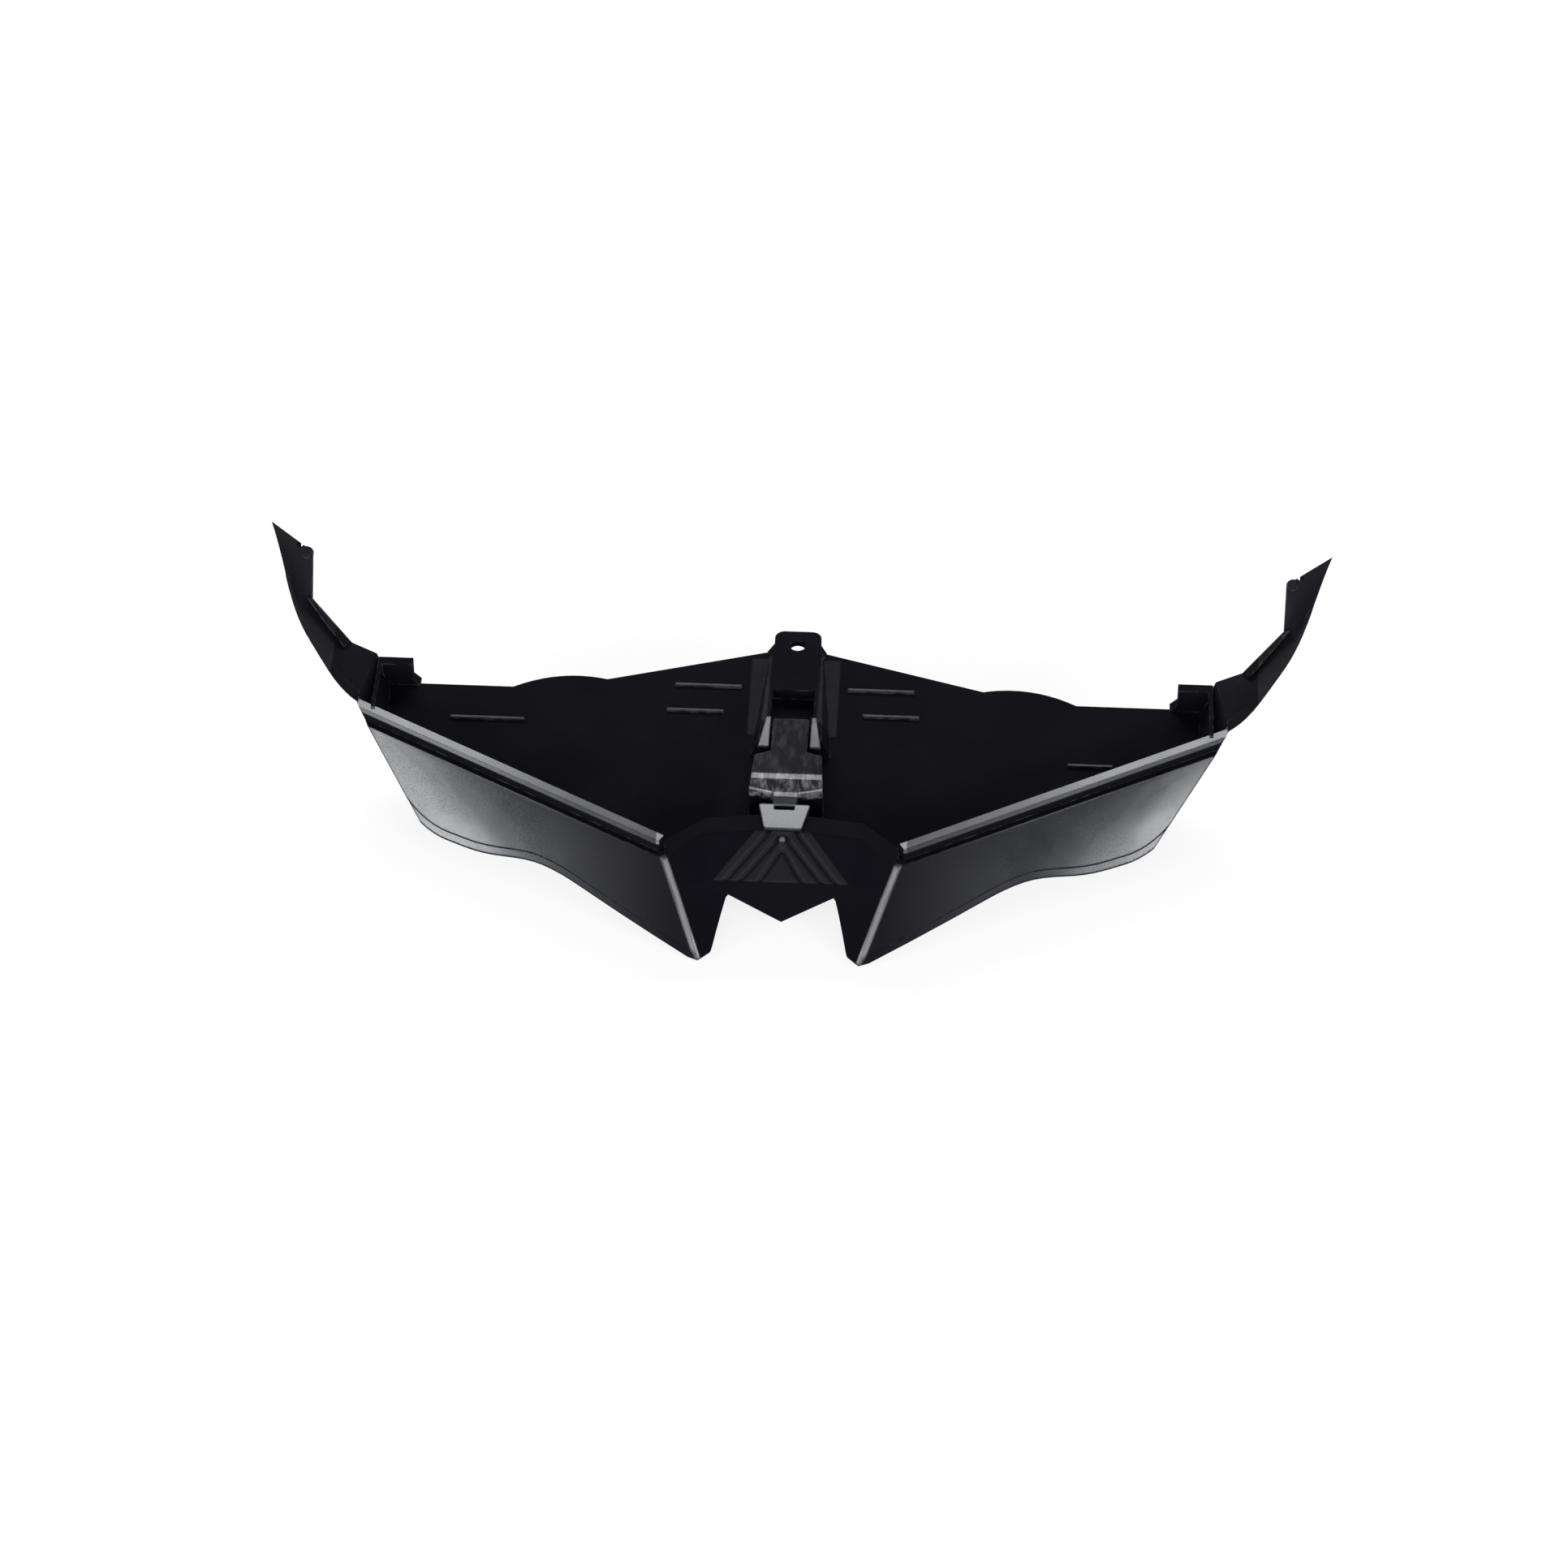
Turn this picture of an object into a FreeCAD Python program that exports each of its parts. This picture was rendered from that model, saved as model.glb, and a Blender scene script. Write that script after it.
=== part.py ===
import FreeCAD, Part
import os
from math import cos, radians, sin

Vector = FreeCAD.Vector

# The panel below a motorcycle's headlights, moulded in one piece. All sizes are in mm.
# X points to one side, Y from the nose to the rear and Z up. While the panel is drawn, the
# tip of the beak is the zero point. At the end the tab's hole becomes the origin.

# skin
skin_depth = 3.0          # thickness of the skin along the draw line
draw_fall = 42.0          # fall of the draw line towards the rear, degrees
core_wall = 2.4           # wall left over the cores under the raised forms

# front lip, one straight bar on each side
lip_level = 40.0          # height of the lip's top above the beak's tip
lip_gap = 93.6            # distance between the inner ends of the two lips
lip_setback = 3.1         # inner end of the lip behind the beak's tip
lip_sweep = 30.2          # angle of the lip to the X axis, degrees
lip_width = 4.5
lip_rise = 5.5            # lip's top above the ledge
lip_edge_radius = 1.2
lip_overrun = 8.5         # the lip runs this far past the face's outer end
ledge = 2.5               # flat step between the lip and the face
ledge_thickness = 3.5

# front face, measured along the lip, out from it and down
face_length = 143.6
face_overrun = 4.2        # the face starts this far inwards of the lip's inner end
fang_sweep = 22.5         # the fang's tip lies this far inwards of the face's top corner
fang_rake = 10.6          # and this far out
ridge_radius = 2.5        # rounding of the edge from the face to the fang's inner wall
corner_drop = 22.5        # lower outer corner below the face's top edge
corner_sweep = 34.0
corner_rake = 14.0
band_width = 3.2          # set-back band along the lower edge
band_depth = 0.8

# lower edge, seen from the front
notch_half = 21.1         # half the distance between the two notches
notch_level = 16.0
notch_radius = 1.0
fang_half = 27.4          # half the distance between the fangs' inner corners
fang_corner_level = -2.5
fang_radius = 4.5
arch_start_x = 81.0
arch_start_level = 10.5
arch_x = 97.0             # top of the arch in the lower edge
arch_level = 12.4
belly_x = 128.0           # belly between the arch and the outer corner
belly_level = 8.1
corner_radius = 30.0

# nose
crest_level = 37.0
crest_y = 12.5            # front edge of the nose's top
crest_depth = 9.0
crease_y = -3.0           # fold between the sloping chevron field and the beak plate
crease_level = 24.0
field_top_half = 11.2     # half width of the chevron field at the crest
field_low_half = 27.0     # half width at the fold
valley_top_x = 31.0       # valley between the chevron field and the fang
valley_top_y = 9.5

# grooves on the sloping field: start as a share of the way down, half width there and at the fold
grooves = ((0.0, 6.2, 22.6), (0.08, 1.4, 17.0), (0.36, 1.4, 9.3))
groove_width = 2.0
groove_depth = 0.9
pip_radius = 1.6
pip_height = 1.2
pip_start = 0.19

# floor
floor_front = 20.0        # level of the floor at the beak's tip
floor_slope = 0.1         # rise per millimetre towards the rear
rim_valley_x = 76.2
rim_valley_y = 106.9
rim_bump_x = 87.0
rim_bump_y = 108.3
rim_flat_x = 114.0
rim_flat_y = 101.0
floor_rib_width = 1.4
floor_rib_height = 0.9
floor_rib_pairs = ((35.0, 105.0, 26.8), (39.5, 91.0, 23.0))     # middle x, y and length, on both sides
floor_rib_singles = ((-123.0, 83.0, 30.0), (120.0, 68.0, 18.0))

# tab and its hole
tab_y = 129.3             # centre of the hole
tab_width = 19.0
tab_reach = 8.8           # from the hole's centre to the tab's rear edge
tab_corner = 4.0
tab_thickness = 3.0
tab_flare = 2.6           # extra width on each side at the tab's root
hole_radius = 3.25

# spine under the clip seat
spine_top_half = 10.4
spine_rear_half = 11.4
spine_rear_rise = 0.6
spine_front_top_half = 12.6
spine_front_half = 16.5
spine_front_y = 68.0
spine_front_rise = 9.5
pit_rear_y = 99.5         # pit between the spine's top and the clip seat
pit_half = 8.6

# clip seat
seat_level = 39.0
seat_rear_y = 77.0
seat_step_y = 55.0        # shoulders, where the seat gets wider
seat_fold_y = 41.0        # from here the seat slopes down to its front edge
seat_front_y = 35.0
seat_front_drop = 1.6
seat_rear_half = 7.2
seat_step_half = 13.4
seat_front_half = 14.6
seat_corner_radius = 1.0
bar_width = 1.8           # two bars along the seat's front edge
bar_rise = 0.9
bar_sweep = 2.4           # the bars' inner ends lie this far in front of their outer ends
gusset_drop = 0.8         # gusset's top below the seat
gusset_gap = 0.9          # groove between the gusset and the seat
gusset_head = 1.9         # width of the gusset's narrow end
gusset_foot = 4.4         # and of its wide end
gusset_head_y = 79.0
gusset_foot_y = 61.0
tongue_half = 4.9
tongue_length = 8.0
tongue_thickness = 2.4
tongue_radius = 2.0

# pedestal in front of the clip seat
pedestal_rise = 1.5
pedestal_rear_y = 26.7
pedestal_rear_half = 10.2
pedestal_front_half = 7.4
pedestal_radius = 1.0
slot_half = 4.0
slot_depth = 2.4
slot_gap = 1.0            # from the tongue's end to the slot

# side wall, wing and tower
wing_outer_steps = (      # the wing's outer edge, from the lip's outer end
    (0.0, 0.0, 0.0),
    (7.7, 6.5, 2.6),
    (15.3, 14.5, 9.0),
    (24.2, 25.5, 17.5),
    (30.7, 40.5, 24.0),
    (40.4, 67.5, 36.1),
)
wing_inner_steps = (      # corners of its inner edge, from the same point
    (-4.9, 27.5, 2.0),
    (5.7, 32.5, 3.0),
    (21.3, 38.5, 20.6),
    (21.7, 50.5, 35.0),
)
wing_shares = (0.0, 0.26, 0.63, 1.0)   # where the inner corners meet the outer edge, as shares of its length
wing_rim_share = 0.2      # width of the wing's raised rim, as a share of the wing
wing_rim_end = 0.72       # where the rim ends along the wing
wing_rim_rise = 1.4
wing_flange_share = 0.24  # flange along the middle of the inner edge
wing_flange_rise = 2.2
wing_notch_radius = 1.6
wing_notch_across = 0.7   # the notch's place from the tip to the inner corner
wing_boss_radius = 2.4
wing_boss_rise = 2.5
wing_boss_share = 0.965   # the boss's place along the wing
wing_boss_across = 0.86
side_foot_inset = 10.6    # side wall's foot, inwards of the lip's outer end
tower_inset = 20.1        # inner side of the tower, inwards of the same point
tower_lead = 1.0          # tower's front before the rear rim
tower_root = 3.0          # slope at the tower's inner foot
tower_width = 14.0
tower_level = 40.7
tower_thickness = 4.4
tower_rib_thickness = 1.6

draw_line = Vector(0, cos(radians(draw_fall)), -sin(radians(draw_fall)))
draw = draw_line * skin_depth
along = Vector(cos(radians(lip_sweep)), sin(radians(lip_sweep)), 0)
outward = Vector(along.y, -along.x, 0)
down = Vector(0, 0, -1)
ledge_level = lip_level - lip_rise
lip_start = Vector(lip_gap / 2, lip_setback, lip_level)
face_near = lip_start - along * face_overrun + outward * (lip_width / 2 + ledge) + down * lip_rise
face_far = face_near + along * face_length
fang_tip = face_near - along * fang_sweep + outward * fang_rake + down * ledge_level
corner = face_far - along * corner_sweep + outward * corner_rake + down * corner_drop
wing_root = face_far + along * lip_overrun - outward * (lip_width / 2 + ledge) - down * lip_rise
wing_outer = [wing_root + Vector(*step) for step in wing_outer_steps]
wing_inner = [wing_root + Vector(*step) for step in wing_inner_steps]
tower_x = wing_root.x - tower_inset
tower_y = rim_flat_y - tower_lead
corner_foot = face_far + (corner - face_far) * (ledge_level / corner_drop)
crest_corner = Vector(field_top_half, crest_y, crest_level)
field_corner = Vector(field_low_half, crease_y, crease_level)
valley_top = Vector(valley_top_x, valley_top_y, crest_level)
beak_side = Vector(notch_half, crease_y * notch_level / crease_level, notch_level)
valley_low = field_corner + (beak_side - field_corner) * (crease_level / (crease_level - notch_level))
fang_middle = face_near + (fang_tip - face_near) * (1 - crease_level / ledge_level)


def floor_level(y):
    return floor_front + floor_slope * y


def on_floor(x, y):
    return Vector(x, y, floor_level(y))


def line(a, b):
    return Part.makeLine(a, b)


def spline(points):
    shape = Part.BSplineCurve()
    shape.interpolate(list(points))
    return shape


def between(first, second):
    """Ruled face between two edges that run the same way."""
    return Part.makeLoft([Part.Wire(first), Part.Wire(second)], False, True).Faces[0]


def skin(first, second):
    """Wall of the skin's thickness between two edges."""
    return between(first, second).extrude(draw)


def plate(points, vector):
    return Part.Face(Part.makePolygon(list(points) + [points[0]])).extrude(vector)


def upright(plan, base, top):
    """Upright block on a plan outline."""
    return plate([Vector(x, y, base) for x, y in plan], Vector(0, 0, top - base))


def upright_edges(plan, base, top):
    """Lines of an upright block's vertical edges."""
    return [(Vector(x, y, base), Vector(x, y, top)) for x, y in plan]


def core(block_plan, base, top):
    """Hollow under an upright block, open below, that leaves a wall on its sides and top."""
    outline = Part.makePolygon([Vector(x, y, base) for x, y in block_plan + block_plan[:1]])
    inner = outline.makeOffset2D(-core_wall)
    return Part.Face(inner).extrude(Vector(0, 0, top - core_wall - base))


def mirrored(shape):
    return shape.mirror(Vector(0, 0, 0), Vector(1, 0, 0))


def both(shape):
    return [shape, mirrored(shape)]


def symmetric(points):
    return points + [(-x, y) for x, y in reversed(points)]


def fuse(shapes):
    joined = shapes[0].multiFuse(shapes[1:]).removeSplitter()
    return joined.Solids[0] if len(joined.Solids) == 1 else joined


def edges_on(shape, a, b):
    """Edges that lie on the line between two points."""
    step = b - a
    found = []
    for edge in shape.Edges:
        ends = [vertex.Point - a for vertex in edge.Vertexes]
        shares = [end.dot(step) / step.dot(step) for end in ends]
        offsets = [(end - step * share).Length for end, share in zip(ends, shares)]
        if len(ends) == 2 and max(offsets) < 1e-3 and min(shares) > -1e-6 and max(shares) < 1 + 1e-6:
            found.append(edge)
    return found


def rounded(shape, radius, lines):
    """Shape with the edges on the given lines rounded."""
    edges = []
    for a, b in lines:
        edges += edges_on(shape, a, b)
    return shape.makeFillet(radius, edges).Solids[0]


def lower_edge(rise):
    """Points and edges of the lower outline from a fang to the outer corner, raised by rise."""
    def at(x, z):
        return Vector(x, 0, z + rise)
    fang = at(fang_half, fang_corner_level)
    start = at(arch_start_x, arch_start_level)
    belly = at(belly_x, belly_level)
    low = at(corner.x, belly_level)
    arch = Part.BSplineCurve()
    arch.interpolate(Points=[start, at(arch_x, arch_level), belly], InitialTangent=start - fang,
                     FinalTangent=low - belly)
    return fang, low, [line(fang, start), arch.toShape(), line(belly, low)]


def front_prism(rise):
    """Block that holds everything above the lower edge, seen from the front."""
    fang, low, edges = lower_edge(rise)
    beak = Vector(0, 0, rise)
    notch = Vector(notch_half, 0, notch_level + rise)
    far = Vector(low.x + lip_level, 0, low.z + lip_level)
    roof = Vector(far.x, 0, 2 * lip_level)
    centre = Vector(0, 0, roof.z)
    loop = [line(beak, notch), line(notch, fang)] + edges
    loop += [line(low, far), line(far, roof), line(roof, centre), line(centre, beak)]
    reach = Vector(0, tab_y, 0)
    prism = Part.Face(Part.Wire(loop)).extrude(reach * 2)
    prism.translate(reach * -1)
    for point, radius in ((notch, notch_radius), (fang, fang_radius), (low, corner_radius)):
        prism = rounded(prism, radius, [(point - reach, point + reach)])
    return prism


def front():
    """Face, fang and nose on one side, cut to the lower outline."""
    back = Vector(0, crest_depth, 0)
    lip_back = lip_start - outward * lip_width / 2 + down * (lip_level - crest_level)
    middle_crest = Vector(0, crest_y, crest_level)
    middle_fold = Vector(0, crease_y, crease_level)
    beak_foot = middle_fold * (-notch_radius / crease_level)
    face = between(line(face_near, face_far), line(fang_tip, corner_foot))
    prow = fuse([
        face.extrude(draw),
        skin(line(face_near, fang_middle), line(valley_top, field_corner)),
        skin(line(fang_middle, fang_tip), line(field_corner, valley_low)),
    ])
    pieces = [
        rounded(prow, ridge_radius, [(face_near, fang_middle), (fang_middle, fang_tip)]),
        plate([crest_corner, field_corner, valley_top], draw),
        skin(line(face_near, valley_top), line(lip_back, valley_top + back)),
        skin(line(valley_top, crest_corner), line(valley_top + back, crest_corner + back)),
        plate([middle_crest, crest_corner, field_corner, middle_fold], draw),
        plate([beak_foot, beak_side, field_corner, middle_fold], draw),
        plate([middle_crest, crest_corner, crest_corner + back, middle_crest + back], draw),
    ]
    band = face.extrude(draw_line * band_depth).cut(front_prism(band_width))
    return fuse(pieces).common(front_prism(0)).cut(band)


def meets_floor(a, b):
    """Point where the middle of the skin along the line a-b passes through the floor's top."""
    first = a + draw / 2
    step = b - a
    share = (floor_level(first.y) - first.z) / (step.z - floor_slope * step.y)
    return first + step * share


def floor_front_points():
    """Front of the floor inside the nose and face, up to the foot of the side wall."""
    beak = meets_floor(Vector(0, crease_y, crease_level), Vector(0, 0, 0))
    valley = meets_floor(field_corner, beak_side)
    fang = meets_floor(face_near, fang_tip)
    far = meets_floor(face_far, corner_foot)
    return [beak, valley, fang, far, on_floor(wing_root.x - side_foot_inset, rim_flat_y)]


def floor():
    front_points = floor_front_points()
    flat_end = on_floor(tower_x, rim_flat_y)
    flat = on_floor(rim_flat_x, rim_flat_y)
    bump = on_floor(rim_bump_x, rim_bump_y)
    valley = on_floor(rim_valley_x, rim_valley_y)
    root = on_floor(tab_width / 2 + tab_flare, tab_y - tab_reach / 2)
    centre = on_floor(0, root.y)
    corners = front_points + [flat_end, flat]
    edges = [line(a, b) for a, b in zip(corners, corners[1:])]
    edges.append(spline([flat, bump, valley]).toShape())
    edges += [line(valley, root), line(root, centre), line(centre, front_points[0])]
    return Part.Face(Part.Wire(edges)).extrude(draw)


def floor_rib(x, y, length):
    """Low rib across the floor."""
    foot = on_floor(x - length / 2, y - floor_rib_width / 2) + down * (skin_depth / 3)
    return Part.makeBox(length, floor_rib_width, floor_rib_height + skin_depth / 3, foot)


def floor_ribs():
    ribs = [floor_rib(*place) for place in floor_rib_singles]
    for place in floor_rib_pairs:
        ribs += both(floor_rib(*place))
    return ribs


def outside():
    """Block beyond the line from the face's outer corner to the wing's start."""
    start = wing_outer[0]
    step = start - face_far
    reach = draw_line * lip_level
    corners = [face_far - step - reach, start + step - reach, start + step + reach, face_far - step + reach]
    return plate(corners, draw_line.cross(step).normalize() * lip_level)


def lip():
    """Bar with rounded top edges and inner end, on a flat ledge, up to the outer side."""
    half = lip_width / 2
    lip_length = face_length - face_overrun + lip_overrun + lip_width

    def section(offsets):
        return [lip_start + outward * q + down * fall for q, fall in offsets]
    low = lip_rise + ledge_thickness
    bar = plate(section(((half, 0), (-half, 0), (-half, lip_rise), (half, lip_rise))), along * lip_length)
    corners = []
    for side in (half, -half):
        near, near_low = section(((side, 0), (side, lip_rise)))
        corners += [(near, near_low), (near, near + along * lip_length)]
    bar = rounded(bar, lip_edge_radius, corners)
    shelf = plate(section(((half + ledge, lip_rise), (-half, lip_rise), (-half, low), (half, low))),
                  along * (lip_length + face_overrun))
    shelf.translate(along * -face_overrun)
    return [bar.cut(outside()), shelf.cut(outside())]


def wing_edge(first, second):
    """Piece of the wing's outer edge between two shares of its length."""
    outer = spline(wing_outer)
    start, reach = outer.FirstParameter, outer.LastParameter - outer.FirstParameter
    return outer.toShape(start + first * reach, start + second * reach)


def wing_point(share, across):
    """Point of the wing's front surface: share along it, across from the outer edge to the inner."""
    outer = spline(wing_outer)
    a = outer.value(outer.FirstParameter + share * (outer.LastParameter - outer.FirstParameter))
    part = max(i for i in range(len(wing_shares) - 1) if wing_shares[i] <= share)
    low, high = wing_shares[part], wing_shares[part + 1]
    b = wing_inner[part] + (wing_inner[part + 1] - wing_inner[part]) * ((share - low) / (high - low))
    return a + (b - a) * across


def wing_strip(first_across, second_across, start, end, rise):
    """Raised strip along the wing."""
    shares = [start + (end - start) * i / 5 for i in range(6)]
    first = spline([wing_point(s, first_across) for s in shares]).toShape()
    second = spline([wing_point(s, second_across) for s in shares]).toShape()
    strip = between(first, second)
    strip.translate(draw_line * (skin_depth / 3))
    return strip.extrude(draw_line * -(rise + skin_depth / 3))


def wing_pin(share, across, radius, rise):
    """Round pin through the wing along the draw line."""
    return Part.makeCylinder(radius, rise + skin_depth, wing_point(share, across) + draw, draw_line * -1)


def wing():
    notch = wing_pin(1, wing_notch_across, wing_notch_radius, wing_boss_rise)
    boss = wing_pin(wing_boss_share, wing_boss_across, wing_boss_radius, wing_boss_rise)
    patches = []
    for i in range(len(wing_shares) - 1):
        outer = wing_edge(wing_shares[i], wing_shares[i + 1])
        patches.append(skin(outer, line(wing_inner[i], wing_inner[i + 1])))
    patches[-1] = patches[-1].cut(notch)
    rim = wing_strip(0, wing_rim_share, 0, wing_rim_end, wing_rim_rise)
    flange = wing_strip(1, 1 - wing_flange_share, wing_shares[1], wing_shares[2], wing_flange_rise)
    return patches + [rim, flange, boss]


def side_wall():
    foot = floor_front_points()
    return skin(line(wing_outer[0], wing_inner[0]), line(foot[-2], foot[-1]))


def tower():
    """Upright block at the rear rim, with a rib from its outer side to the lip."""
    base = floor_level(tower_y) - skin_depth / 2
    block = Part.makeBox(tower_width, tower_thickness, tower_level - base, Vector(tower_x, tower_y, base))
    outer_x = tower_x + tower_width
    rib_y = lip_start.y + along.y / along.x * (outer_x - lip_start.x)
    corner_at = Vector(outer_x - tower_rib_thickness, rib_y, ledge_level)
    rib = Part.makeBox(tower_rib_thickness, tower_y - rib_y, tower_level - ledge_level, corner_at)
    floor_z = floor_level(tower_y)
    slope = [Vector(tower_x - tower_root, tower_y, floor_z), Vector(tower_x, tower_y, floor_z + tower_root),
             Vector(tower_x + tower_root, tower_y, floor_z), Vector(tower_x, tower_y, base)]
    return fuse([block, rib, plate(slope, Vector(0, tower_thickness, 0))])


def tab():
    top = floor_level(tab_y)
    half = tab_width / 2
    root_y = tab_y - tab_reach / 2
    rear_y = tab_y + tab_reach
    plan = symmetric([(half, rear_y), (half, root_y + 2 * tab_flare), (half + tab_flare, root_y),
                      (half, root_y - tab_reach)])
    body = upright(plan, top - tab_thickness, top)
    rear_corners = [(half, rear_y), (-half, rear_y)]
    return rounded(body, tab_corner, upright_edges(rear_corners, top - tab_thickness, top))


def hole():
    top = floor_level(tab_y)
    return Part.makeCylinder(hole_radius, 2 * tab_thickness, Vector(0, tab_y, top + tab_thickness / 2), down)


def spine_section(y, low_half, top_half, low, high):
    return Part.makePolygon([Vector(-low_half, y, low), Vector(low_half, y, low), Vector(top_half, y, high),
                             Vector(-top_half, y, high), Vector(-low_half, y, low)])


def spine():
    rear_y = tab_y - tab_reach / 2
    sink = skin_depth / 3
    rear, front_floor = floor_level(rear_y), floor_level(spine_front_y)
    return Part.makeLoft([
        spine_section(rear_y, spine_rear_half, spine_top_half, rear - sink, rear + spine_rear_rise),
        spine_section(spine_front_y, spine_front_half, spine_front_top_half, front_floor - sink,
                      front_floor + spine_front_rise),
    ], True, True)


def pit():
    """Pit in the spine's top behind the clip seat, down to the floor."""
    front, rear = on_floor(-pit_half, seat_rear_y), on_floor(-pit_half, pit_rear_y)
    rise = Vector(0, 0, spine_front_rise)
    return plate([front, rear, rear + rise, front + rise], Vector(2 * pit_half, 0, 0))


def seat_plan():
    return symmetric([(seat_rear_half, seat_rear_y), (seat_rear_half, seat_step_y + core_wall),
                      (seat_step_half, seat_step_y), (seat_front_half, seat_front_y)])


def pedestal_plan():
    return symmetric([(pedestal_front_half, crest_y), (pedestal_rear_half, pedestal_rear_y)])


def seat():
    """Clip seat with its sloping front, bars, two gussets and the tongue over the pedestal."""
    base = floor_level(seat_front_y) - skin_depth / 3
    plan = seat_plan()
    block = upright(plan, base, seat_level)
    block = rounded(block, seat_corner_radius, upright_edges(plan, base, seat_level))
    wide = Vector(4 * seat_front_half, 0, 0)
    fold = Vector(-2 * seat_front_half, seat_fold_y, seat_level)
    low = Vector(fold.x, seat_front_y, seat_level - seat_front_drop)
    front_low = low + (low - fold)
    body = block.cut(plate([fold, front_low, Vector(fold.x, front_low.y, 2 * seat_level)], wide))
    inner = seat_rear_half + gusset_gap
    gusset = [(inner, gusset_head_y), (inner + gusset_head, gusset_head_y),
              (inner + gusset_foot, gusset_foot_y), (inner, gusset_foot_y)]
    bar = [(tongue_half, seat_front_y - bar_sweep + bar_width), (seat_front_half, seat_front_y + bar_width),
           (seat_front_half, seat_front_y), (tongue_half, seat_front_y - bar_sweep)]
    bar_top = low.z + bar_rise
    tongue = symmetric([(tongue_half, seat_fold_y), (tongue_half, seat_front_y - tongue_length)])
    tongue_ends = upright_edges([tongue[1], tongue[2]], low.z - tongue_thickness, low.z)
    pieces = [body, rounded(upright(tongue, low.z - tongue_thickness, low.z), tongue_radius, tongue_ends)]
    pieces += both(upright(bar, low.z - tongue_thickness, bar_top))
    return pieces + both(upright(gusset, base, seat_level - gusset_drop))


def pedestal():
    plan = pedestal_plan()
    base, top = floor_level(crest_y) - skin_depth / 3, crest_level + pedestal_rise
    return rounded(upright(plan, base, top), pedestal_radius, upright_edges(plan, base, top))


def slot():
    rear = seat_front_y - tongue_length - slot_gap
    plan = symmetric([(slot_half, rear), (slot_half, rear - slot_depth)])
    return upright(plan, crest_level - core_wall, crest_level + 2 * pedestal_rise)


def field_point(x, share, height):
    """Point over the sloping field: share of the way from the crest to the fold."""
    fall = Vector(0, crease_y - crest_y, crease_level - crest_level)
    normal = Vector(0, fall.z, -fall.y).normalize()
    return Vector(x, crest_y, crest_level) + fall * share + normal * height


def field_grooves():
    """Nested grooves on the sloping field."""
    cut_depth = field_point(0, 0, -groove_depth) - field_point(0, 0, groove_depth)
    pieces = []
    for start, high, low in grooves:
        corners = ((high, start), (low, 1), (low - groove_width, 1), (high - groove_width, start))
        pieces += both(plate([field_point(x, share, groove_depth) for x, share in corners], cut_depth))
    return pieces


def pip():
    foot, top = field_point(0, pip_start, -skin_depth / 3), field_point(0, pip_start, pip_height)
    return Part.makeCylinder(pip_radius, (top - foot).Length, foot, top - foot)


def panel():
    side = [front(), floor(), tower(), side_wall()] + lip() + wing()
    pieces = []
    for piece in side:
        pieces += both(piece)
    pieces += [tab(), spine(), pedestal(), pip()] + seat() + floor_ribs()
    deep = floor_level(0) - 2 * skin_depth
    cores = [core(seat_plan(), deep, seat_level), core(pedestal_plan(), deep, crest_level + pedestal_rise)]
    body = fuse(pieces)
    for opening in [hole(), slot(), pit()] + field_grooves() + cores:
        body = body.cut(opening)
    return body.removeSplitter().Solids[0]


if __name__ == "__main__":
    os.makedirs("parts", exist_ok=True)
    body = panel()
    body.translate(Vector(0, -tab_y, -floor_level(tab_y)))
    print(body.isValid(), round(body.Volume), len(body.Solids), body.BoundBox)
    body.exportStep("parts/headlight_lower_panel.step")
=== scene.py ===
import bpy
import math
from mathutils import Matrix, Vector


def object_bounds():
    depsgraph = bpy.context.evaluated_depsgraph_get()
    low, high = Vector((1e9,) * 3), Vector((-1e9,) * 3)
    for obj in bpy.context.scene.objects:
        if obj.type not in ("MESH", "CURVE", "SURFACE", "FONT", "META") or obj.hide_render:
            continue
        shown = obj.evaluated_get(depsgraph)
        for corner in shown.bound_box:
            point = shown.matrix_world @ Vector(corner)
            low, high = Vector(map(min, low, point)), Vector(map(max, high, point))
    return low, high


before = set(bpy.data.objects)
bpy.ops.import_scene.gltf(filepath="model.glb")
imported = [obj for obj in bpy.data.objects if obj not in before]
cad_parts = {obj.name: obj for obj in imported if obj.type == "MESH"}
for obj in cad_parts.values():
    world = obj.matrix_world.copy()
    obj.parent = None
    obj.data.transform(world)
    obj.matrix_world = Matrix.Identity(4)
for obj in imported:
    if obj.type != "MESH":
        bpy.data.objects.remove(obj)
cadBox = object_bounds()
print("panel loaded", cadBox)

scene = bpy.context.scene
scene.view_settings.view_transform = "Standard"


# camera at the photograph's angle
cameraSetup = {
    "place": (0.0801, -1.6201, 1.3845),   # metres, in the panel's frame
    "azimuth": 3.03,                      # degrees to the right of straight ahead
    "elevation": 42.0,
    "lens": 119.93,
    "sensor": 36.0,
}


def makeCamera(setup):
    az = math.radians(setup["azimuth"])
    el = math.radians(setup["elevation"])
    back = Vector((math.sin(az) * math.cos(el), -math.cos(az) * math.cos(el), math.sin(el)))
    right = Vector((math.cos(az), math.sin(az), 0))
    up = back.cross(right)
    data = bpy.data.cameras.new("photoCamera")
    data.lens = setup["lens"]
    data.sensor_width = setup["sensor"]
    data.sensor_fit = "HORIZONTAL"
    data.clip_end = 50
    camera = bpy.data.objects.new("photoCamera", data)
    turn = Matrix((right, up, back)).transposed().to_4x4()
    camera.matrix_world = Matrix.Translation(setup["place"]) @ turn
    scene.collection.objects.link(camera)
    scene.camera = camera


makeCamera(cameraSetup)
print("camera set")


# small helpers for node trees
def newTree(owner):
    owner.use_nodes = True
    tree = owner.node_tree
    tree.nodes.clear()
    return tree


def addNode(tree, kind, **values):
    node = tree.nodes.new(kind)
    for name, value in values.items():
        setattr(node, name, value)
    return node


def feed(tree, value, target):
    if isinstance(value, (int, float, tuple)):
        target.default_value = value
    else:
        tree.links.new(value, target)


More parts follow.
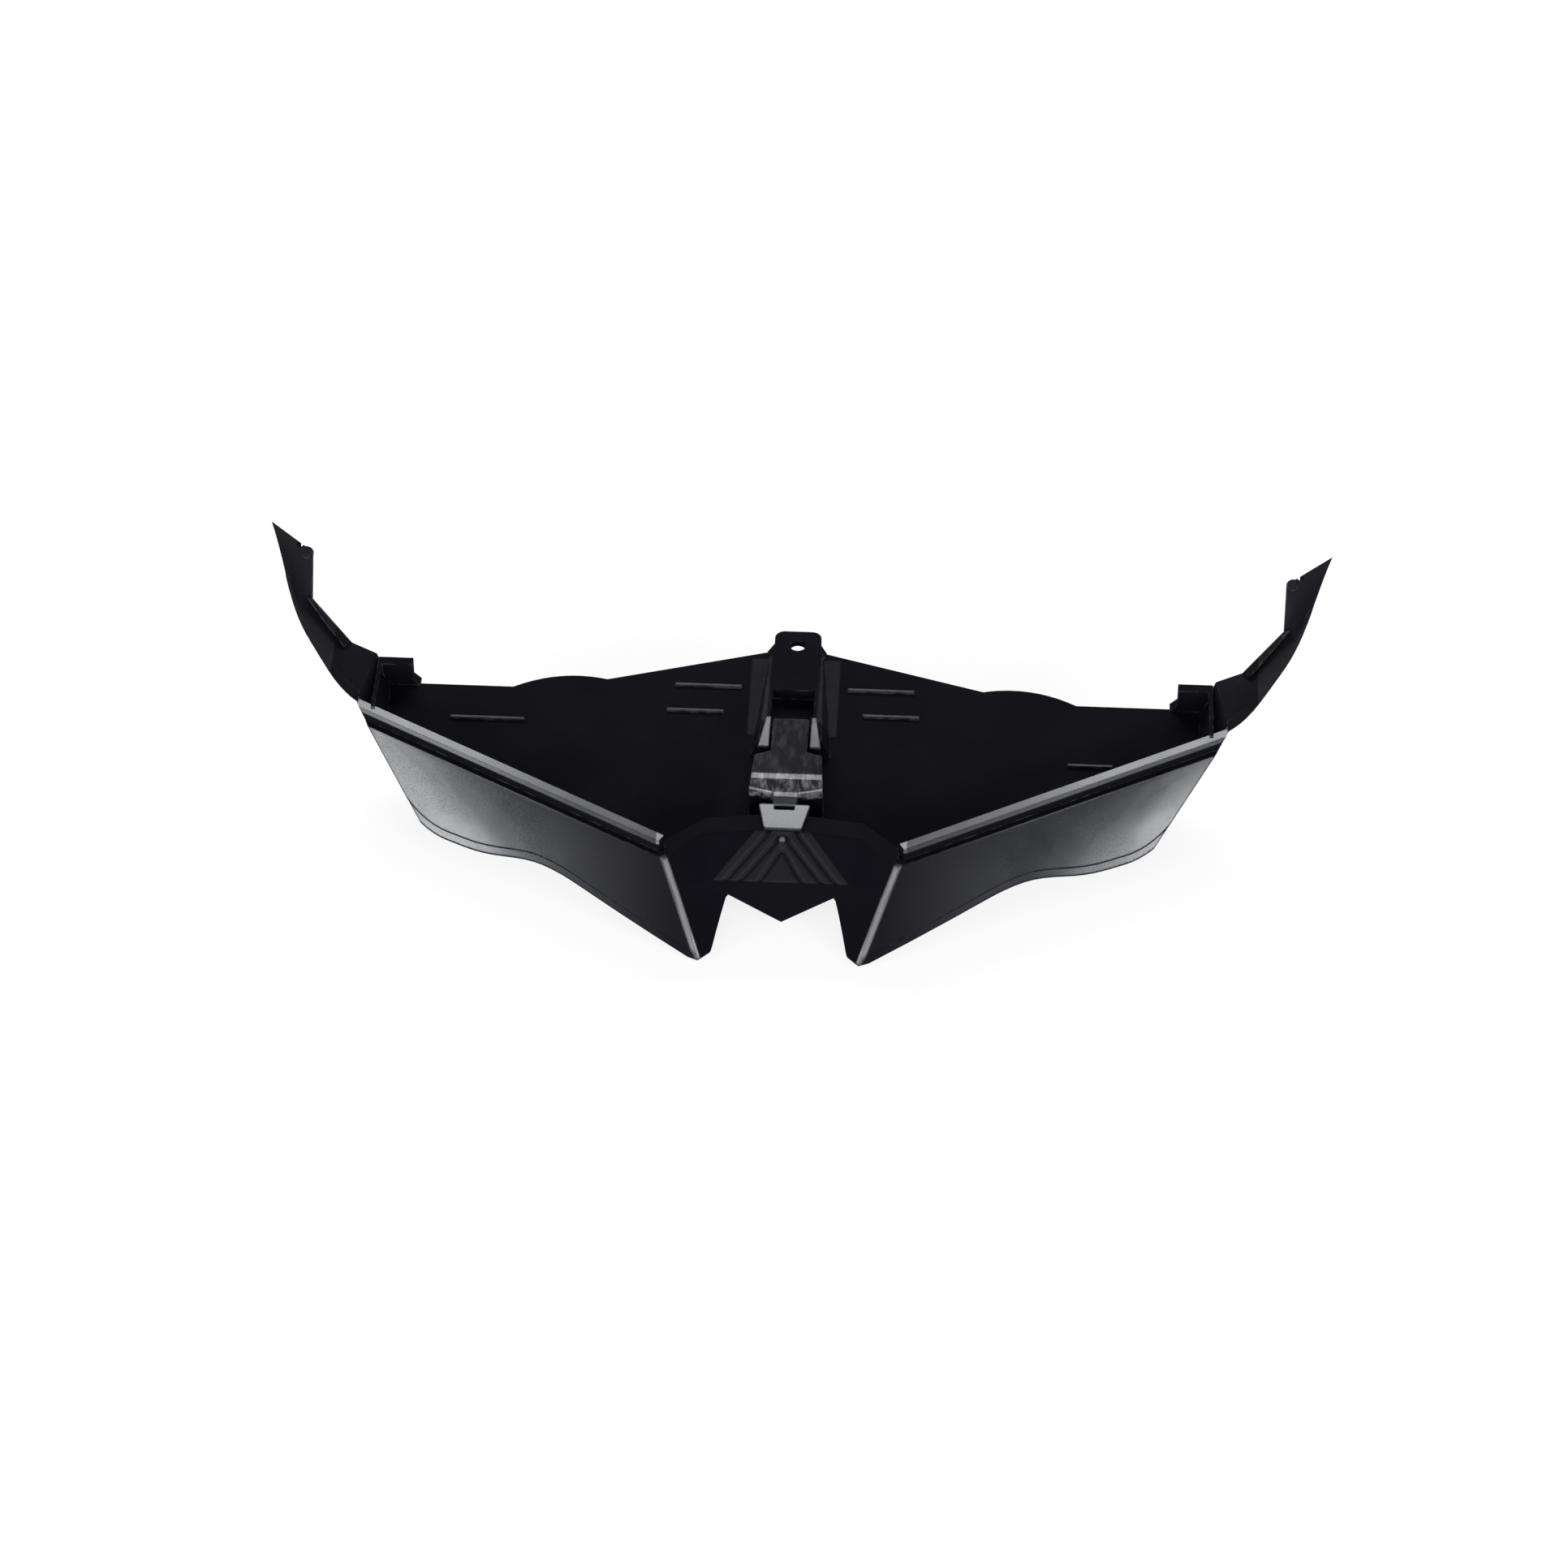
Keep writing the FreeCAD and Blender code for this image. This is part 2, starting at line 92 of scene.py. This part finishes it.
def mathNode(tree, operation, *values):
    node = addNode(tree, "ShaderNodeMath", operation=operation)
    for value, target in zip(values, node.inputs):
        feed(tree, value, target)
    return node.outputs[0]


def vectorNode(tree, operation, *values):
    node = addNode(tree, "ShaderNodeVectorMath", operation=operation)
    for value, target in zip(values, node.inputs):
        feed(tree, value, target)
    return node.outputs["Value" if operation in ("DOT_PRODUCT", "LENGTH") else "Vector"]


def splitVector(tree, vector):
    node = addNode(tree, "ShaderNodeSeparateXYZ")
    feed(tree, vector, node.inputs[0])
    return {"x": node.outputs["X"], "y": node.outputs["Y"], "z": node.outputs["Z"]}


def rangeNode(tree, value, fromMin, fromMax, toMin=0.0, toMax=1.0, kind="SMOOTHSTEP"):
    node = addNode(tree, "ShaderNodeMapRange", interpolation_type=kind)
    numbers = (value, fromMin, fromMax, toMin, toMax)
    for name, number in zip(("Value", "From Min", "From Max", "To Min", "To Max"), numbers):
        feed(tree, number, node.inputs[name])
    return node.outputs["Result"]


def blendNode(tree, share, first, second):
    return rangeNode(tree, share, 0.0, 1.0, first, second, "LINEAR")


def colourNode(tree, share, first, second):
    node = addNode(tree, "ShaderNodeMix", data_type="RGBA")
    feed(tree, share, node.inputs["Factor"])
    sockets = [socket for socket in node.inputs if socket.type == "RGBA"]
    for colour, socket in zip((first, second), sockets):
        feed(tree, (*colour, 1.0) if isinstance(colour, tuple) else colour, socket)
    return [socket for socket in node.outputs if socket.type == "RGBA"][0]


def turnNode(tree, share, first, second):
    node = addNode(tree, "ShaderNodeMix", data_type="VECTOR")
    feed(tree, share, node.inputs["Factor"])
    sockets = [socket for socket in node.inputs if socket.type == "VECTOR"]
    feed(tree, first, sockets[-2])
    feed(tree, second, sockets[-1])
    return [socket for socket in node.outputs if socket.type == "VECTOR"][0]


def noiseNode(tree, vector, scale, detail=2.0, roughness=0.5):
    node = addNode(tree, "ShaderNodeTexNoise")
    settings = {"Vector": vector, "Scale": scale, "Detail": detail, "Roughness": roughness}
    for name, value in settings.items():
        feed(tree, value, node.inputs[name])
    return node.outputs["Fac"]


# black moulded plastic: polished lips and faces, grained tray, nose and tab
panelFinish = {
    "grainColour": (0.0036, 0.0034, 0.0052),
    "polishColour": (0.0028, 0.0030, 0.0046),
    "edgeWearAndHighlightColour": (0.020, 0.020, 0.023),    # burnished edges, partly a painted highlight along them
    # painted highlight: a lighter colour along the ridges' bright line
    "ridgeHighlightPaint": (0.032, 0.032, 0.035),
    "seatHighlightPaint": (0.080, 0.080, 0.084),   # painted highlight: pale mottled patches on the seat and the pip
    "specular": 0.25,
    "grainGloss": (0.028, 0.028, 0.036),    # the grain swallows most of the gloss
    "polishGloss": (0.96, 0.98, 1.0),
    "grainDepthShade": 0.6,                 # metallic share, which dims the grain
    "rimShade": 0.7,                        # painted shade: gloss cut where a face turns into its rim
    "grainRoughness": 0.85,
    "polishRoughness": 0.23,
    "roughnessDrift": 0.05,                 # slow changes across the moulding
    "grainSize": 0.0005,                    # metres
    "grainDepth": 0.00003,
    "edgeRadius": 0.0010,
    "noseRadius": 0.0022,                   # softer folds on the nose
    "roundTurn": (0.9985, 0.9900),          # cosine of the turn at which rounding shows
    "edgeTurn": (0.99, 0.85),               # cosine of the turn at which an edge starts
    "driftScale": 28.0,
    "wearScale": 260.0,
    "wearPatches": (0.42, 0.62),
    "edgeWearAndHighlightShine": 0.5,
    "fineRoughness": 0.04,
    "polishGrain": 0.3,                     # grain left on the polished forms
}

# where the polished forms lie, in metres; x counts to both sides
lipLine = {"start": (0.0468, -0.1262), "sweep": 30.2, "behind": 0.0030, "fade": 0.0005}
lipBar = {
    "across": (-0.0026, 0.0046),
    "z": (0.0012, 0.0074),
    "topZ": 0.0050,
    "frontZ": 0.0046,        # the rounded front edge starts here
    "frontTilt": 60.0,       # degrees from level
    "topFacing": (0.66, 0.80),
    "frontFacing": (0.20, 0.40),
    # painted shade: the rest of the lip bar keeps little gloss
    "wallShare": 0.12,
    "endX": 0.0492,          # bright rounded end
    "innerShare": 0.66,      # painted highlight: the top's gloss grows outwards
    "outerX": 0.1300,
    "acrossFade": 0.0001,
    "zFade": 0.0002,
    "frontFade": 0.0004,
    "startGap": (0.0020, 0.0010),
    "endFade": 0.0006,
}
faceLook = {
    "turn": (0.04, 0.18),
    "ridgeGap": (-0.0015, -0.0005),
    "innerX": 0.040,
    "outerX": 0.095,
    "innerShare": 0.22,      # painted shade: the face's gloss fades towards its inner end
}
ridgeLine = {
    "top": (0.04556, -0.13242, 0.00157),
    "tip": (0.03144, -0.15290, -0.03293),
    "reach": (0.0021, 0.0011),
    "above": 0.0010,         # fades out around the top
    "below": 0.0005,
}
fieldPlan = {
    "rearY": -0.1168,
    "rearX": 0.0112,
    "frontY": -0.1323,
    "frontX": 0.0270,
    "fade": 0.0010,
    "facing": (0.66, 0.74),
    "share": 0.50,
}
polishedBoxes = {
    "pedestal": {"x": (-0.001, 0.0104), "y": (-0.1172, -0.1020), "z": (0.0046, 0.0080), "share": 1.0},
    "seatFront": {"x": (-0.001, 0.0150), "y": (-0.0970, -0.0850), "z": (0.0020, 0.0070), "share": 0.85},
    "gussets": {"x": (0.0080, 0.0130), "y": (-0.0690, -0.0500), "z": (0.0045, 0.0060), "share": 0.80},
    "seat": {"x": (-0.001, 0.0150), "y": (-0.0880, -0.0520), "z": (0.0045, 0.0070), "share": 0.22},
    "tongue": {"x": (-0.001, 0.0052), "y": (-0.1026, -0.0945), "z": (0.0035, 0.0052), "share": 0.40},
    "wingRoots": {"x": (0.1690, 0.1860), "y": (-0.0700, 0.0300), "z": (0.0060, 0.0500), "share": 0.10},
    "wings": {"x": (0.1860, 0.2200), "y": (-0.0700, 0.0300), "z": (0.0060, 0.0500), "share": 0.42},
    "spine": {"x": (0.0100, 0.0180), "y": (-0.0500, -0.0080), "z": (-0.0060, 0.0040), "share": 0.25},
}
# painted highlight: pale mottled patches on the seat's front and top
seatHighlightPatches = {
    "stretch": (420.0, 130.0, 420.0),
    "patches": (0.40, 0.70),
    "frontShare": 1.0,
    "topShare": 0.16,
}
pipBox = {"x": (-0.001, 0.0010), "y": (-0.1207, -0.1185), "z": (-0.0100, 0.0100), "fade": 0.0003}
floorRibs = {
    "slope": 0.1,
    "rise": (0.0005, 0.0013),
    "x": (0.0200, 0.1500),
    "y": (-0.0950, -0.0150),
    "fade": 0.0001,
    "share": 0.6,
}
noseBox = {"x": (-0.001, 0.043), "y": (-0.160, -0.106), "z": (-0.040, 0.0046)}
boxFade = 0.0006
noiseSpan = (0.3, 0.7)       # most values of a noise lie here


def inside(tree, value, limits, fade):
    above = rangeNode(tree, value, limits[0] - fade, limits[0] + fade)
    below = rangeNode(tree, value, limits[1] + fade, limits[1] - fade)
    return mathNode(tree, "MULTIPLY", above, below)


def insideBox(tree, place, box, fade):
    share = inside(tree, place["side"], box["x"], fade)
    share = mathNode(tree, "MULTIPLY", share, inside(tree, place["y"], box["y"], fade))
    return mathNode(tree, "MULTIPLY", share, inside(tree, place["z"], box["z"], fade))


def lipReach(tree, place):
    # distance in front of the lip's middle line
    sweep = math.radians(lipLine["sweep"])
    ahead = mathNode(tree, "SUBTRACT", place["side"], lipLine["start"][0])
    across = mathNode(tree, "SUBTRACT", place["y"], lipLine["start"][1])
    return mathNode(tree, "SUBTRACT", mathNode(tree, "MULTIPLY", ahead, math.sin(sweep)),
                    mathNode(tree, "MULTIPLY", across, math.cos(sweep)))


def lipMasks(tree, place, facing, reach):
    bar = inside(tree, reach, lipBar["across"], lipBar["acrossFade"])
    bar = mathNode(tree, "MULTIPLY", bar, inside(tree, place["z"], lipBar["z"], lipBar["zFade"]))
    startX = lipLine["start"][0]
    outer, inner = lipBar["startGap"]
    started = rangeNode(tree, place["side"], startX - outer, startX - inner)
    bar = mathNode(tree, "MULTIPLY", bar, started)
    topZ, topFade = lipBar["topZ"], lipBar["zFade"]
    frontZ, frontFade = lipBar["frontZ"], lipBar["frontFade"]
    top = mathNode(tree, "MULTIPLY", rangeNode(tree, facing["z"], *lipBar["topFacing"]),
                   rangeNode(tree, place["z"], topZ - topFade, topZ + topFade))
    top = mathNode(tree, "MULTIPLY", bar, top)
    # rounded front edge under the top
    sweep = math.radians(lipLine["sweep"])
    ahead = mathNode(tree, "SUBTRACT", mathNode(tree, "MULTIPLY", facing["out"], math.sin(sweep)),
                     mathNode(tree, "MULTIPLY", facing["y"], math.cos(sweep)))
    front = mathNode(tree, "MULTIPLY", rangeNode(tree, ahead, *lipBar["frontFacing"]),
                     rangeNode(tree, place["z"], frontZ - frontFade, frontZ + frontFade))
    front = mathNode(tree, "MULTIPLY", bar, front)
    front = mathNode(tree, "MULTIPLY", front, mathNode(tree, "SUBTRACT", 1.0, top))
    return bar, top, front


def lipShine(tree, place, bar, top, front):
    # painted highlight and shade: top and front edge glossier outwards, the rest of the bar dull
    outwards = rangeNode(tree, place["side"], lipBar["endX"], lipBar["outerX"],
                         lipBar["innerShare"], 1.0, "LINEAR")
    endX, endFade = lipBar["endX"], lipBar["endFade"]
    end = rangeNode(tree, place["side"], endX + endFade, endX - endFade)
    bright = mathNode(tree, "MULTIPLY", mathNode(tree, "ADD", top, front),
                      mathNode(tree, "MAXIMUM", outwards, end))
    return mathNode(tree, "MAXIMUM", bright, mathNode(tree, "MULTIPLY", bar, lipBar["wallShare"]))


def lipTurn(tree, place, top, front, shaped):
    # the top reads as one flat band, and the front edge as one soft round
    sweep = math.radians(lipLine["sweep"])
    tilt = math.radians(lipBar["frontTilt"])
    leaning = addNode(tree, "ShaderNodeCombineXYZ")
    sideways = mathNode(tree, "MULTIPLY", place["sign"], math.sin(sweep) * math.sin(tilt))
    feed(tree, sideways, leaning.inputs["X"])
    leaning.inputs["Y"].default_value = -math.cos(sweep) * math.sin(tilt)
    leaning.inputs["Z"].default_value = math.cos(tilt)
    turned = turnNode(tree, front, shaped, leaning.outputs[0])
    return turnNode(tree, top, turned, (0.0, 0.0, 1.0))


def faceShine(tree, place, facing, reach, bar):
    # the faces lie in front of the lips and turn outwards
    behind, fade = lipLine["behind"], lipLine["fade"]
    front = rangeNode(tree, reach, -behind - fade, -behind + fade)
    face = mathNode(tree, "MULTIPLY", front, rangeNode(tree, facing["out"], *faceLook["turn"]))
    face = mathNode(tree, "MULTIPLY", face, mathNode(tree, "SUBTRACT", 1.0, bar))
    # and outside the ridge's line
    top, tip = ridgeLine["top"], ridgeLine["tip"]
    lean = (top[0] - tip[0]) / (top[2] - tip[2])
    limit = mathNode(tree, "MULTIPLY_ADD", place["z"], lean, top[0] - top[2] * lean)
    spare = mathNode(tree, "SUBTRACT", place["side"], limit)
    face = mathNode(tree, "MULTIPLY", face, rangeNode(tree, spare, *faceLook["ridgeGap"]))
    # painted shade: less gloss towards the inner end, so the face brightens outwards
    outwards = rangeNode(tree, place["side"], faceLook["innerX"], faceLook["outerX"],
                         faceLook["innerShare"], 1.0, "LINEAR")
    return mathNode(tree, "MULTIPLY", face, outwards)


def ridgeShine(tree, place):
    # bright rounded ridge between each face and the nose: glossy, and its colour carries a painted
    # highlight
    top = Vector(ridgeLine["top"])
    along = (Vector(ridgeLine["tip"]) - top).normalized()
    point = addNode(tree, "ShaderNodeCombineXYZ")
    for name, key in (("X", "side"), ("Y", "y"), ("Z", "z")):
        feed(tree, place[key], point.inputs[name])
    away = vectorNode(tree, "SUBTRACT", point.outputs[0], tuple(top))
    distance = vectorNode(tree, "LENGTH", vectorNode(tree, "CROSS_PRODUCT", away, tuple(along)))
    below = rangeNode(tree, place["z"], top.z + ridgeLine["above"], top.z - ridgeLine["below"])
    return mathNode(tree, "MULTIPLY", rangeNode(tree, distance, *ridgeLine["reach"]), below)


def fieldShine(tree, place, facing):
    # sloping field with grooves, wider towards the beak
    slope = (fieldPlan["frontX"] - fieldPlan["rearX"]) / (fieldPlan["rearY"] - fieldPlan["frontY"])
    ahead = mathNode(tree, "SUBTRACT", fieldPlan["rearY"], place["y"])
    half = mathNode(tree, "ADD", mathNode(tree, "MULTIPLY", ahead, slope), fieldPlan["rearX"])
    spare = mathNode(tree, "SUBTRACT", half, place["side"])
    share = mathNode(tree, "MULTIPLY", rangeNode(tree, spare, 0.0, fieldPlan["fade"]),
                     inside(tree, place["y"], (fieldPlan["frontY"], fieldPlan["rearY"]), boxFade))
    share = mathNode(tree, "MULTIPLY", share, rangeNode(tree, facing["z"], *fieldPlan["facing"]))
    return mathNode(tree, "MULTIPLY", share, fieldPlan["share"])


def ribShine(tree, place):
    # low ribs stand a little over the sloping floor
    floorZ = mathNode(tree, "MULTIPLY", place["y"], floorRibs["slope"])
    rise = mathNode(tree, "SUBTRACT", place["z"], floorZ)
    ribs = mathNode(tree, "MULTIPLY", inside(tree, rise, floorRibs["rise"], floorRibs["fade"]),
                    inside(tree, place["side"], floorRibs["x"], boxFade))
    ribs = mathNode(tree, "MULTIPLY", ribs, inside(tree, place["y"], floorRibs["y"], boxFade))
    return mathNode(tree, "MULTIPLY", ribs, floorRibs["share"])


def seatHighlightShare(tree, spot, place):
    # painted highlight: pale patches on the seat, and over the whole pip
    patches = noiseNode(tree, vectorNode(tree, "MULTIPLY", spot, seatHighlightPatches["stretch"]), 1.0, 4.0, 0.6)
    patches = rangeNode(tree, patches, *seatHighlightPatches["patches"])
    front = insideBox(tree, place, polishedBoxes["seatFront"], boxFade)
    top = insideBox(tree, place, polishedBoxes["seat"], boxFade)
    where = mathNode(tree, "MAXIMUM", mathNode(tree, "MULTIPLY", front, seatHighlightPatches["frontShare"]),
                     mathNode(tree, "MULTIPLY", top, seatHighlightPatches["topShare"]))
    seatHighlight = mathNode(tree, "MULTIPLY", patches, where)
    return mathNode(tree, "MAXIMUM", seatHighlight, insideBox(tree, place, pipBox, pipBox["fade"]))


def panelMaterial(finish):
    material = bpy.data.materials.new("blackMouldedPlastic")
    tree = newTree(material)
    out = addNode(tree, "ShaderNodeOutputMaterial")
    shader = addNode(tree, "ShaderNodeBsdfPrincipled")
    feed(tree, shader.outputs["BSDF"], out.inputs["Surface"])
    shader.inputs["Specular IOR Level"].default_value = finish["specular"]

    spot = addNode(tree, "ShaderNodeTexCoord").outputs["Object"]
    place = splitVector(tree, spot)
    place["side"] = mathNode(tree, "ABSOLUTE", place["x"])
    place["sign"] = mathNode(tree, "SIGN", place["x"])
    normal = addNode(tree, "ShaderNodeNewGeometry").outputs["Normal"]
    facing = splitVector(tree, normal)
    facing["out"] = mathNode(tree, "MULTIPLY", facing["x"], place["sign"])
    reach = lipReach(tree, place)
    bar, lipTop, lipFront = lipMasks(tree, place, facing, reach)
    ridge = ridgeShine(tree, place)
    seatHighlight = seatHighlightShare(tree, spot, place)

    # rounded edges, softer on the nose
    soft = mathNode(tree, "MAXIMUM", insideBox(tree, place, noseBox, boxFade), ridge)
    rounded = addNode(tree, "ShaderNodeBevel", samples=8)
    radius = blendNode(tree, soft, finish["edgeRadius"], finish["noseRadius"])
    feed(tree, radius, rounded.inputs["Radius"])
    turn = vectorNode(tree, "DOT_PRODUCT", rounded.outputs["Normal"], normal)
    roundShare = rangeNode(tree, turn, *finish["roundTurn"])
    shaped = turnNode(tree, roundShare, normal, rounded.outputs["Normal"])
    edge = rangeNode(tree, turn, *finish["edgeTurn"])
    edge = mathNode(tree, "MULTIPLY", edge, mathNode(tree, "SUBTRACT", 1.0, soft))

    # polished share of the surface
    face = faceShine(tree, place, facing, reach, bar)
    # painted shade along the faces' rims
    face = mathNode(tree, "MULTIPLY", face, blendNode(tree, edge, 1.0, 1.0 - finish["rimShade"]))
    polish = mathNode(tree, "MAXIMUM", face, lipShine(tree, place, bar, lipTop, lipFront))
    for share in (ridge, fieldShine(tree, place, facing), ribShine(tree, place)):
        polish = mathNode(tree, "MAXIMUM", polish, share)
    for box in polishedBoxes.values():
        share = mathNode(tree, "MULTIPLY", insideBox(tree, place, box, boxFade), box["share"])
        polish = mathNode(tree, "MAXIMUM", polish, share)

    drift = noiseNode(tree, spot, finish["driftScale"], 3.0)
    wear = noiseNode(tree, spot, finish["wearScale"], 4.0, 0.6)
    grain = noiseNode(tree, spot, 1.0 / finish["grainSize"], 2.0, 0.6)

    # colour: burnished where an edge is worn, partly a painted highlight there; painted highlights on the
    # ridges and in pale patches on the seat
    # painted highlight, partly real wear: a lighter colour on patches of the rounded edges
    edgeWearAndHighlight = mathNode(tree, "MULTIPLY", edge, rangeNode(tree, wear, *finish["wearPatches"]))
    edgeWearAndHighlight = mathNode(tree, "MULTIPLY", edgeWearAndHighlight, mathNode(tree, "SUBTRACT", 1.0, face))
    colour = colourNode(tree, polish, finish["grainColour"], finish["polishColour"])
    colour = colourNode(tree, edgeWearAndHighlight, colour, finish["edgeWearAndHighlightColour"])
    # painted highlight along the ridges
    colour = colourNode(tree, ridge, colour, finish["ridgeHighlightPaint"])
    # painted highlight on the seat and the pip
    colour = colourNode(tree, seatHighlight, colour, finish["seatHighlightPaint"])
    feed(tree, colour, shader.inputs["Base Color"])

    # gloss and roughness
    shine = mathNode(tree, "MAXIMUM", polish, mathNode(tree, "MULTIPLY", edgeWearAndHighlight, finish["edgeWearAndHighlightShine"]))
    shine = mathNode(tree, "MAXIMUM", shine, seatHighlight)
    gloss = colourNode(tree, shine, finish["grainGloss"], finish["polishGloss"])
    feed(tree, gloss, shader.inputs["Specular Tint"])
    feed(tree, blendNode(tree, shine, finish["grainDepthShade"], 0.0), shader.inputs["Metallic"])
    base = blendNode(tree, polish, finish["grainRoughness"], finish["polishRoughness"])
    slow = rangeNode(tree, drift, *noiseSpan, -finish["roughnessDrift"], finish["roughnessDrift"])
    fine = rangeNode(tree, grain, *noiseSpan, -finish["fineRoughness"], finish["fineRoughness"])
    feed(tree, mathNode(tree, "ADD", mathNode(tree, "ADD", base, slow), fine), shader.inputs["Roughness"])

    # moulded grain
    bump = addNode(tree, "ShaderNodeBump")
    bump.inputs["Distance"].default_value = finish["grainDepth"]
    smooth = mathNode(tree, "SUBTRACT", polish, lipTop)
    feed(tree, blendNode(tree, smooth, 1.0, finish["polishGrain"]), bump.inputs["Strength"])
    feed(tree, grain, bump.inputs["Height"])
    feed(tree, lipTurn(tree, place, lipTop, lipFront, shaped), bump.inputs["Normal"])
    feed(tree, bump.outputs["Normal"], shader.inputs["Normal"])
    return material


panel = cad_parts["headlight_lower_panel"]
plastic = panelMaterial(panelFinish)
panel.data.materials.clear()
panel.data.materials.append(plastic)
print("panel finished")


# pale floor under the panel
floorSetup = {
    "size": 24.0,
    "colour": (0.72, 0.72, 0.72),
    "whiteShare": 0.8,    # plain white mixed into the lit floor, as the view sees it
    "gap": 0.0005,
}


def makeFloor(setup):
    level = cadBox[0][2] - setup["gap"]
    half = setup["size"] / 2
    corners = [(-half, -half, level), (half, -half, level), (half, half, level), (-half, half, level)]
    mesh = bpy.data.meshes.new("paleFloor")
    mesh.from_pydata(corners, [], [(0, 1, 2, 3)])
    floor = bpy.data.objects.new("paleFloor", mesh)
    scene.collection.objects.link(floor)
    material = bpy.data.materials.new("paleFloor")
    tree = newTree(material)
    out = addNode(tree, "ShaderNodeOutputMaterial")
    paint = addNode(tree, "ShaderNodeBsdfDiffuse")
    paint.inputs["Color"].default_value = (*setup["colour"], 1)
    white = addNode(tree, "ShaderNodeEmission")
    rays = addNode(tree, "ShaderNodeLightPath").outputs
    seen = mathNode(tree, "MAXIMUM", rays["Is Camera Ray"], rays["Is Glossy Ray"])
    seen = mathNode(tree, "MAXIMUM", seen, rays["Is Transmission Ray"])
    mix = addNode(tree, "ShaderNodeMixShader")
    feed(tree, mathNode(tree, "MULTIPLY", seen, setup["whiteShare"]), mix.inputs["Fac"])
    feed(tree, paint.outputs[0], mix.inputs[1])
    feed(tree, white.outputs[0], mix.inputs[2])
    feed(tree, mix.outputs[0], out.inputs["Surface"])
    mesh.materials.append(material)


makeFloor(floorSetup)
print("floor laid")


# soft studio lamps: azimuth is counted from the rear to the right, sizes in metres
lampSetups = {
    "rearStrip": {"azimuth": -3.0, "elevation": 38.0, "distance": 2.0,
                  "size": (1.8, 0.7), "radiance": 14.0},
    "rightBox": {"azimuth": 129.0, "elevation": 21.0, "distance": 2.2,
                 "size": (0.75, 0.45), "radiance": 27.0},
    "leftBox": {"azimuth": -124.5, "elevation": 16.5, "distance": 2.2,
                "size": (0.75, 0.45), "radiance": 28.5},
    "frontStrip": {"azimuth": 180.0, "elevation": 18.0, "distance": 2.4,
                   "size": (3.0, 1.1), "radiance": 9.5},
    "topBox": {"azimuth": 180.0, "elevation": 84.0, "distance": 2.0,
               "size": (1.1, 1.1), "radiance": 1.0},
}
aimPoint = Vector((0, -0.07, 0))


def makeLamp(name, setup):
    az = math.radians(setup["azimuth"])
    el = math.radians(setup["elevation"])
    away = Vector((math.sin(az) * math.cos(el), math.cos(az) * math.cos(el), math.sin(el)))
    width, height = setup["size"]
    data = bpy.data.lights.new(name, "AREA")
    data.shape = "RECTANGLE"
    data.size = width
    data.size_y = height
    data.energy = setup["radiance"] * math.pi * width * height
    lamp = bpy.data.objects.new(name, data)
    lamp.location = aimPoint + away * setup["distance"]
    lamp.rotation_euler = away.to_track_quat("Z", "Y").to_euler()
    lamp.visible_camera = False
    scene.collection.objects.link(lamp)


for lampName, lampSetup in lampSetups.items():
    makeLamp(lampName, lampSetup)


# world: white near the horizon, dim overhead
worldSetup = {"horizon": 1.0, "overhead": 0.22, "fadeStart": 0.1, "fadeEnd": 0.35}


def makeWorld(setup):
    world = bpy.data.worlds.new("studio")
    scene.world = world
    tree = newTree(world)
    out = addNode(tree, "ShaderNodeOutputWorld")
    light = addNode(tree, "ShaderNodeBackground")
    light.inputs["Color"].default_value = (1, 1, 1, 1)
    height = splitVector(tree, addNode(tree, "ShaderNodeTexCoord").outputs["Generated"])["z"]
    level = rangeNode(tree, height, setup["fadeStart"], setup["fadeEnd"],
                      setup["horizon"], setup["overhead"])
    feed(tree, level, light.inputs["Strength"])
    feed(tree, light.outputs[0], out.inputs["Surface"])


makeWorld(worldSetup)
print("lights set")
